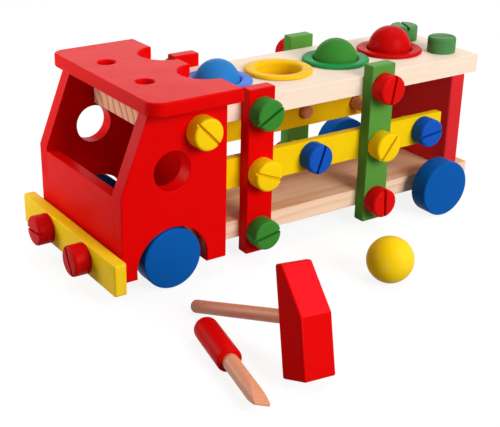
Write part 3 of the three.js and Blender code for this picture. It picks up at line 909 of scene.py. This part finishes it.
class TOYTRUCK_OT_balls(bpy.types.Operator):
    """Turned balls with the small flats that the lathe leaves"""

    bl_idname = "toy_truck.balls"
    bl_label = "Balls"

    # Tip, swing, paint and paleness of the coat
    LOOKS = {
        "blue_ball": (0.5, 0.3, "ball_blue", 0.0),
        "green_ball": (-0.4, 0.6, "deep_green", 0.0),
        "red_ball": (0.7, -0.4, "deep_red", 0.0),
        "loose_ball": (1.1, 0.5, "yellow", 0.25),
    }

    # Latitude where a ball's round side meets the flat at its pole
    FLAT_FROM = 87

    def execute(self, context):
        radius = context.scene.truck_sizes.ball_radius
        round_side = arc(0, 0, radius / MM, -self.FLAT_FROM, self.FLAT_FROM, 30)
        flat = round_side[0][1]
        profile = [(0, flat)] + round_side + [(0, -flat)]
        master = smooth(turned("ball", profile, context.scene.truck_sizes.facets))
        for node, (tip, swing, paint, pale) in self.LOOKS.items():
            low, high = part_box(node)
            turn = Matrix.Rotation(tip, 4, "X") @ Matrix.Rotation(swing, 4, "Y")
            centre = Vector(((low.x + high.x) / 2, (low.y + high.y) / 2, high.z - radius))
            ball = put(copy_of(master, node), Matrix.Translation(centre) @ turn)
            dress(ball, node, painted(paint, "x", pale))
        bpy.data.objects.remove(master, do_unlink=True)
        return {"FINISHED"}


class TOYTRUCK_OT_wheels(bpy.types.Operator):
    """Plain turned wheels, and the bare wood of their axles and of the hidden spacers"""

    bl_idname = "toy_truck.wheels"
    bl_label = "Wheels"

    # Sizes in millimetres: the socket takes the axle's end
    RADIUS = 30
    THICKNESS = 20.5
    SOCKET_RADIUS = 5.3
    SOCKET_DEPTH = 12.3
    INNER_ROUNDING = 1.4
    OUTER_ROUNDING = 1.8

    CARRIED = (
        "front_axle",
        "rear_axle",
        "left_cab_spacer",
        "right_cab_spacer",
        "left_bumper_spacer",
        "right_bumper_spacer",
    )

    def execute(self, context):
        inner, outer = self.INNER_ROUNDING, self.OUTER_ROUNDING
        profile = [(0, self.SOCKET_DEPTH), (self.SOCKET_RADIUS, self.SOCKET_DEPTH), (self.SOCKET_RADIUS, 0)]
        profile += arc(self.RADIUS - inner, inner, inner, -90, 0, 4)
        profile += arc(self.RADIUS - outer, self.THICKNESS - outer, outer, 0, 90, 5) + [(0, self.THICKNESS)]
        master = smooth(turned("wheel", profile, facets=80))
        for place in ("front", "rear"):
            for side, sign in SIDES:
                node = f"{side}_{place}_wheel"
                low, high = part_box(node)
                inside = low.y if sign > 0 else high.y
                seat = Vector(((low.x + high.x) / 2, inside, (low.z + high.z) / 2))
                turn = Matrix.Rotation(-sign * math.pi / 2, 4, "X")
                wheel = put(copy_of(master, node), Matrix.Translation(seat) @ turn)
                dress(wheel, node, painted("blue", "z"))
        bpy.data.objects.remove(master, do_unlink=True)
        plain = dowel_wood("axle_wood", GRAIN["y"])
        for node in self.CARRIED:
            carried = frame["nodes"][node]
            carried.data.materials.clear()
            carried.data.materials.append(plain)
        return {"FINISHED"}


class TOYTRUCK_OT_hammer(bpy.types.Operator):
    """Hammer with a wedge-shaped head and a dowel handle"""

    bl_idname = "toy_truck.hammer"
    bl_label = "Hammer"

    # Head in millimetres: its box, the height where its slope starts and the depth left at its top
    WIDTH = 33.5
    DEPTH = 26
    HEIGHT = 92
    SHOULDER = 51
    TOP_DEPTH = 7
    HEAD_EASE = 1.6

    # Handle in millimetres: its height on the head, its lengths in and out of it and its play in the hole
    RADIUS = 6
    RISE = 46.5
    INSIDE = 20
    OUTSIDE = 131
    END_ROUNDING = 3.4
    PLAY = 0.3
    HANDLE_ROWS = range(-16, 125, 14)

    # Where it stands, just clear of the floor, and how it is turned there
    PLACE = (390, 271.5)
    CLEARANCE = 0.3
    ROLL = math.radians(9)
    TURN = math.radians(5)

    # Cosine above which a face of the head counts as part of its slope
    ON_SLOPE = 0.99

    def execute(self, context):
        lean, stand = self.standing()
        self.add_head(stand)
        self.add_handle(lean, stand)
        return {"FINISHED"}

    def standing(self):
        """The lean that rests the handle's end on the floor, and the matrix that puts the hammer there."""
        lift = self.WIDTH / 2 * math.sin(self.ROLL)
        under = self.RISE - self.RADIUS
        contact = self.OUTSIDE - self.RADIUS / 2
        span = math.hypot(under, contact) * math.cos(self.ROLL)
        lean = math.acos(-lift / span) - math.atan2(contact, under)
        stand = Matrix.Translation(truck_point(*self.PLACE, self.CLEARANCE + lift))
        stand = stand @ Matrix.Rotation(self.TURN, 4, "Z")
        stand = stand @ Matrix.Rotation(-self.ROLL, 4, "Y") @ Matrix.Rotation(lean, 4, "X")
        return lean, stand

    def add_head(self, stand):
        low = Vector((-self.WIDTH / 2, 0, 0)) * MM
        high = Vector((self.WIDTH / 2, self.DEPTH, self.HEIGHT)) * MM
        head = block("hammer_head", low, high)
        slope = Vector((0, self.HEIGHT - self.SHOULDER, self.DEPTH - self.TOP_DEPTH)).normalized()
        slice_off(head, Vector((0, self.DEPTH, self.SHOULDER)) * MM, slope)
        mouth = Vector((0, -CUT_PAST, self.RISE * MM))
        hole_end = Vector((0, self.INSIDE + self.PLAY, self.RISE)) * MM
        cut_away(head, [rod(mouth, hole_end, (self.RADIUS + self.PLAY) * MM)])
        ease(head, self.HEAD_EASE * MM, segments=4)
        # The slope's faces take a paler red, which is a painted sheen
        split_faces(head, lambda face: face.normal.dot(slope) > self.ON_SLOPE)
        dress(put(head, stand), "hammer_head", painted("tool_red", "z"), painted("wedge_red", "z"))

    def add_handle(self, lean, stand):
        rounding = self.END_ROUNDING
        profile = [(0, -self.INSIDE), (self.RADIUS, -self.INSIDE)]
        profile += [(self.RADIUS, z) for z in self.HANDLE_ROWS]
        profile += arc(self.RADIUS - rounding, self.OUTSIDE - rounding, rounding, 0, 90, 5)
        profile += [(0, self.OUTSIDE)]
        handle = smooth(turned("hammer_handle", profile, facets=32))
        hole = Matrix.Translation(Vector((0, 0, self.RISE)) * MM) @ Matrix.Rotation(math.pi / 2, 4, "X")
        put(handle, stand @ hole)
        along = (0, -lean, math.pi / 2 - self.TURN)
        dress(handle, "hammer_handle", dowel_wood("hammer_handle_wood", along))


class TOYTRUCK_OT_screwdriver(bpy.types.Operator):
    """Screwdriver with a round-backed grip and a flat-ended dowel blade"""

    bl_idname = "toy_truck.screwdriver"
    bl_label = "Screwdriver"

    # Grip in millimetres, with a socket from its front for the blade
    GRIP_RADIUS = 11
    GRIP_LENGTH = 63
    BACK_ROUNDING = 9
    FRONT_ROUNDING = 2.2
    SOCKET_RADIUS = 7.3
    SOCKET_FLOOR = 38
    GRIP_ROWS = (25, 42)

    # Blade in millimetres, from its foot in the socket to its tip, with a flat on each side of the tip
    BLADE_RADIUS = 7
    BLADE_FOOT = 38.3
    BLADE_TIP = 129
    FLAT_LENGTH = 22
    FLAT_DEPTH = 6
    BLADE_ROWS = range(48, 121, 9)
    TIP_EASE = 0.35

    # Where it lies, and how it is turned there
    PLACE = (419, 174.5, 11.3)
    TURN = math.radians(78)
    ROLL = math.radians(-20)

    def execute(self, context):
        lie = Matrix.Translation(truck_point(*self.PLACE)) @ Matrix.Rotation(self.TURN, 4, "Z")
        lie = lie @ Matrix.Rotation(self.ROLL, 4, "X") @ Matrix.Rotation(math.pi / 2, 4, "Y")
        self.add_grip(lie)
        self.add_blade(lie)
        return {"FINISHED"}

    def add_grip(self, lie):
        radius, length = self.GRIP_RADIUS, self.GRIP_LENGTH
        back, front = self.BACK_ROUNDING, self.FRONT_ROUNDING
        profile = [(0, 0)] + arc(radius - back, back, back, -90, 0, 8)
        profile += [(radius, z) for z in self.GRIP_ROWS]
        profile += arc(radius - front, length - front, front, 0, 90, 4)
        profile += [(self.SOCKET_RADIUS, z) for z in (length, self.SOCKET_FLOOR)]
        profile += [(0, self.SOCKET_FLOOR)]
        grip = smooth(turned("screwdriver_handle", profile, facets=48))
        dress(put(grip, lie), "screwdriver_handle", painted("tool_red", "y"))

    def add_blade(self, lie):
        radius, foot, tip = self.BLADE_RADIUS, self.BLADE_FOOT, self.BLADE_TIP
        profile = [(0, foot)] + [(radius, z) for z in (foot, *self.BLADE_ROWS, tip)] + [(0, tip)]
        blade = turned("screwdriver_shaft", profile, facets=48)
        for sign in (1, -1):
            flat_start = Vector((sign * radius, 0, tip - self.FLAT_LENGTH)) * MM
            slice_off(blade, flat_start, Vector((sign * self.FLAT_LENGTH, 0, self.FLAT_DEPTH)).normalized())

        def at_tip(start, end):
            return min(start.z, end.z) > tip * MM - SLIVER

        ease_some(blade, self.TIP_EASE * MM, at_tip, segments=2)
        dress(put(blade, lie), "screwdriver_shaft", dowel_wood("screwdriver_wood", (0, 0, -self.TURN)))


class TOYTRUCK_OT_stage(bpy.types.Operator):
    """Pale floor, soft lights and the camera"""

    bl_idname = "toy_truck.stage"
    bl_label = "Stage"

    # Lights: place, width and the setting that holds the power
    LIGHTS = {
        "key_light": (Vector((-0.4, 2.05, 1.1)), 1.3, "key_power"),
        "top_light": (Vector((-0.7, -0.1, 2.0)), 1.8, "top_power"),
        "back_light": (Vector((-1.15, -1.85, 1.1)), 1.6, "back_power"),
        "front_light": (Vector((0.52, -0.42, 0.24)), 0.4, "front_power"),
    }
    LIGHTS_AIM = Vector((0, -0.05, 0.06))

    # Floor: its paper as it is seen and as it throws light back, and the glow mixed in where it is seen
    FLOOR_SIZE = 14
    FLOOR_DROP = 0.4 * MM
    SEEN_PAPER = (0.92, 0.92, 0.92)
    LIGHTING_PAPER = (0.3, 0.3, 0.3)
    GLOW_STRENGTH = 1.08
    GLOW_SHARE = 0.8
    WHITE = (1, 1, 1, 1)

    CAMERA_PLACE = (846.0, 848.57, 466.09)
    CAMERA_SHIFT = (0.1111, 0.0289)
    SENSOR_WIDTH = 36

    def execute(self, context):
        settings = context.scene.truck_stage
        self.add_floor()
        for name, (place, width, power) in self.LIGHTS.items():
            self.add_light(name, place, width, getattr(settings, power))
        self.add_world(settings)
        self.add_camera(settings)
        context.scene.view_settings.view_transform = "Standard"
        return {"FINISHED"}

    def add_floor(self):
        deselect_all()
        bpy.ops.mesh.primitive_grid_add(
            x_subdivisions=8,
            y_subdivisions=8,
            size=self.FLOOR_SIZE,
            location=(0, 0, -self.FLOOR_DROP),
        )
        floor = bpy.context.active_object
        floor.name = "floor"
        settle(floor)
        finish = Finish("floor_paper")
        seen = finish.seen()
        finish.surface(finish.mix(seen, self.LIGHTING_PAPER, self.SEEN_PAPER), roughness=0.9)
        white = {"Color": self.WHITE, "Strength": self.GLOW_STRENGTH}
        glow = finish.node("ShaderNodeEmission", None, white)
        paper = Wire(finish, finish.shader.outputs[0])
        lifted = finish.node("ShaderNodeMixShader", None, {0: seen * self.GLOW_SHARE, 1: paper, 2: glow})
        output = next(node for node in finish.nodes if node.type == "OUTPUT_MATERIAL")
        finish.plug(output.inputs["Surface"], lifted)
        floor.data.materials.append(finish.material)

    def add_light(self, name, place, width, power):
        deselect_all()
        aim = (self.LIGHTS_AIM - place).to_track_quat("-Z", "Y").to_euler()
        bpy.ops.object.light_add(type="AREA", location=place, rotation=aim)
        lamp = bpy.context.active_object
        lamp.name = name
        lamp.data.shape = "DISK"
        lamp.data.size = width
        lamp.data.energy = power

    def add_world(self, settings):
        world = bpy.context.scene.world or bpy.data.worlds.new("studio")
        bpy.context.scene.world = world
        world.use_nodes = True
        tree = Tree(world.node_tree)
        background = tree.nodes["Background"]
        background.inputs["Color"].default_value = self.WHITE
        tree.plug(background.inputs["Strength"], settings.ambient + tree.seen() * (1 - settings.ambient))

    def add_camera(self, settings):
        turn = (math.pi / 2 - settings.elevation, 0, settings.azimuth)
        bpy.ops.object.camera_add(location=truck_point(*self.CAMERA_PLACE), rotation=turn)
        camera = bpy.context.active_object
        camera.name = "photo_camera"
        camera.data.sensor_fit = "HORIZONTAL"
        camera.data.sensor_width = self.SENSOR_WIDTH
        camera.data.lens = settings.lens
        camera.data.shift_x, camera.data.shift_y = self.CAMERA_SHIFT
        camera.data.clip_start = 0.01
        bpy.context.scene.camera = camera


OPERATORS = (
    TOYTRUCK_OT_boards,
    TOYTRUCK_OT_posts,
    TOYTRUCK_OT_cab,
    TOYTRUCK_OT_bumper,
    TOYTRUCK_OT_screws,
    TOYTRUCK_OT_rings,
    TOYTRUCK_OT_balls,
    TOYTRUCK_OT_wheels,
    TOYTRUCK_OT_hammer,
    TOYTRUCK_OT_screwdriver,
    TOYTRUCK_OT_stage,
)


class TOYTRUCK_PT_panel(bpy.types.Panel):
    """Lists the truck's steps and settings"""

    bl_idname = "TOYTRUCK_PT_panel"
    bl_label = "Wooden Pounding Truck"
    bl_space_type = "VIEW_3D"
    bl_region_type = "UI"
    bl_category = "Toy Truck"

    def draw(self, context):
        for group in (context.scene.truck_paints, context.scene.truck_sizes, context.scene.truck_stage):
            box = self.layout.box()
            for name in group.__annotations__:
                box.prop(group, name)
        for operator in OPERATORS:
            self.layout.operator(operator.bl_idname)


CLASSES = (TruckPaints, TruckSizes, TruckStage, *OPERATORS, TOYTRUCK_PT_panel)


def register():
    for cls in CLASSES:
        bpy.utils.register_class(cls)
    bpy.types.Scene.truck_paints = PointerProperty(type=TruckPaints)
    bpy.types.Scene.truck_sizes = PointerProperty(type=TruckSizes)
    bpy.types.Scene.truck_stage = PointerProperty(type=TruckStage)


def unregister():
    del bpy.types.Scene.truck_stage
    del bpy.types.Scene.truck_sizes
    del bpy.types.Scene.truck_paints
    for cls in reversed(CLASSES):
        bpy.utils.unregister_class(cls)


def main():
    register()
    bpy.ops.toy_truck.boards()
    bpy.ops.toy_truck.posts()
    bpy.ops.toy_truck.cab()
    bpy.ops.toy_truck.bumper()
    bpy.ops.toy_truck.screws()
    bpy.ops.toy_truck.rings()
    bpy.ops.toy_truck.balls()
    bpy.ops.toy_truck.wheels()
    bpy.ops.toy_truck.hammer()
    bpy.ops.toy_truck.screwdriver()
    bpy.ops.toy_truck.stage()


if __name__ == "__main__":
    main()
